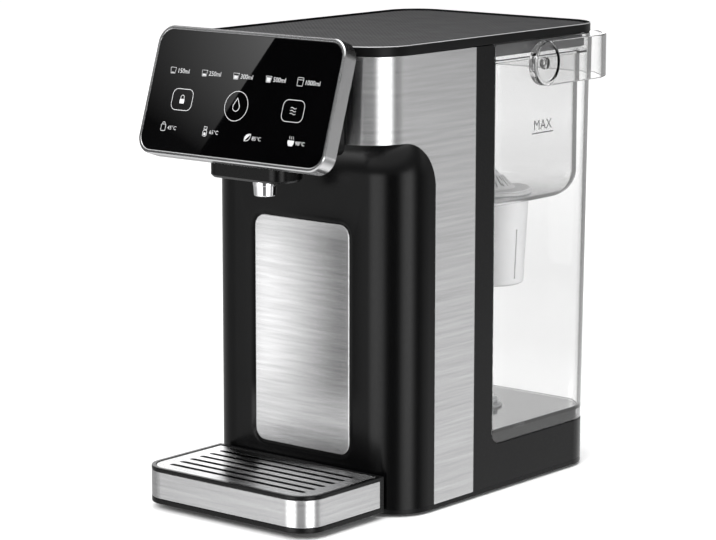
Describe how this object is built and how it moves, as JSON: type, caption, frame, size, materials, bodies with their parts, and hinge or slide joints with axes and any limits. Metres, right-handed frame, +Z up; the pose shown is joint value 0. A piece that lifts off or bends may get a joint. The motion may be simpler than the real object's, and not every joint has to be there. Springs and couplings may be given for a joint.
{
  "type": "hot water dispenser",
  "caption": "Countertop hot water dispenser: heater column with tilted touch head and nozzle over a drip tray, clear lift-off filter tank behind, steel wrapped.",
  "frame": {"origin": "on the floor plane under the feet, at the middle of the plan box", "axes": "+Z up, +Y from the drip tray to the tank, +X to the right seen from the front"},
  "size_m": [0.1784, 0.3104, 0.309],
  "materials": {
    "brushed_steel": "horizontal brushed",
    "black_plastic": "satin moulded",
    "column_black": "semi gloss moulded",
    "lid_grey": "fine textured",
    "chrome": "polished",
    "clear_plastic": "clear moulded",
    "white_plastic": "satin moulded",
    "rubber": "matte",
    "panel_glass": "polished black",
    "dark_plastic": "satin moulded",
    "silicone": "translucent",
    "circuit_board": "solder mask",
    "bare_metal": "bare",
    "brass": "plain",
    "red_seal": "matte"
  },
  "bodies": {
    "root": {"base_pan": "black_plastic", "base_feet": "rubber", "base_screws": "bare_metal", "rear_frame": "black_plastic", "inner_frame": "dark_plastic", "steel_wrap": "brushed_steel", "front_column": "column_black", "backsplash": "brushed_steel", "top_deck": "dark_plastic", "head_neck": "black_plastic", "head_back": "dark_plastic", "head_bezel": "brushed_steel", "touch_glass": "panel_glass", "control_board": "circuit_board", "touch_pads": "brass", "spout_housing": "column_black", "nozzle": "chrome", "heater_tube": "bare_metal", "heater_caps": "dark_plastic", "heater_bracket": "bare_metal", "thermal_cutouts": "white_plastic", "temperature_sensor": "brass", "pump_body": "dark_plastic", "pump_cover": "dark_plastic", "pump_mount": "rubber", "inlet_hose": "silicone", "feed_hose": "silicone", "outlet_hose": "silicone", "power_board": "circuit_board", "board_posts": "brass", "wire_loom": "red_seal", "mains_gland": "black_plastic", "dock_socket": "dark_plastic", "dock_seal": "red_seal"},
    "rotor": {"pump_impeller": "white_plastic"},
    "tank": {"tank_shell": "clear_plastic", "valve_housing": "white_plastic", "valve_spring": "bare_metal", "pivot_pins": "clear_plastic"},
    "valve": {"valve_plunger": "red_seal"},
    "handle": {"tank_handle": "clear_plastic"},
    "upper_tank": {"reservoir": "clear_plastic"},
    "filter": {"filter_cartridge": "white_plastic", "filter_cap": "white_plastic", "filter_seal": "rubber"},
    "cover": {"lid": "lid_grey", "lid_skirt": "dark_plastic"},
    "tray": {"tray_pan": "black_plastic", "tray_skirt": "brushed_steel", "tray_feet": "rubber"},
    "grate": {"drip_grate": "brushed_steel"}
  },
  "joints": [
    {"name": "tank_lift", "type": "slide", "parent": "root", "child": "tank", "axis": [0, 0, 1], "range_m": [0, 0.28]},
    {"name": "handle_swing", "type": "hinge", "parent": "tank", "child": "handle", "pos_m": [0, 0.0667, 0.2796], "axis": [1, 0, 0], "range_deg": [0, 90]},
    {"name": "valve_press", "type": "slide", "parent": "tank", "child": "valve", "axis": [0, 0, 1], "range_m": [0, 0.003], "stiffness_N_per_m": 300, "deforming": ["valve_spring"]},
    {"name": "reservoir_lift", "type": "slide", "parent": "tank", "child": "upper_tank", "axis": [0, 0, 1], "range_m": [0, 0.27]},
    {"name": "lid_lift", "type": "slide", "parent": "upper_tank", "child": "cover", "axis": [0, 0, 1], "range_m": [0, 0.1]},
    {"name": "filter_pull", "type": "slide", "parent": "upper_tank", "child": "filter", "axis": [0, 0, 1], "range_m": [0, 0.06]},
    {"name": "tray_slide", "type": "slide", "parent": "root", "child": "tray", "axis": [0, -1, 0], "range_m": [0, 0.09]},
    {"name": "grate_lift", "type": "slide", "parent": "tray", "child": "grate", "axis": [0, 0, 1], "range_m": [0, 0.05]},
    {"name": "pump_spin", "type": "hinge", "parent": "root", "child": "rotor", "pos_m": [-0.04, 0.06, 0.0165], "axis": [0, 0, 1], "continuous": true}
  ]
}
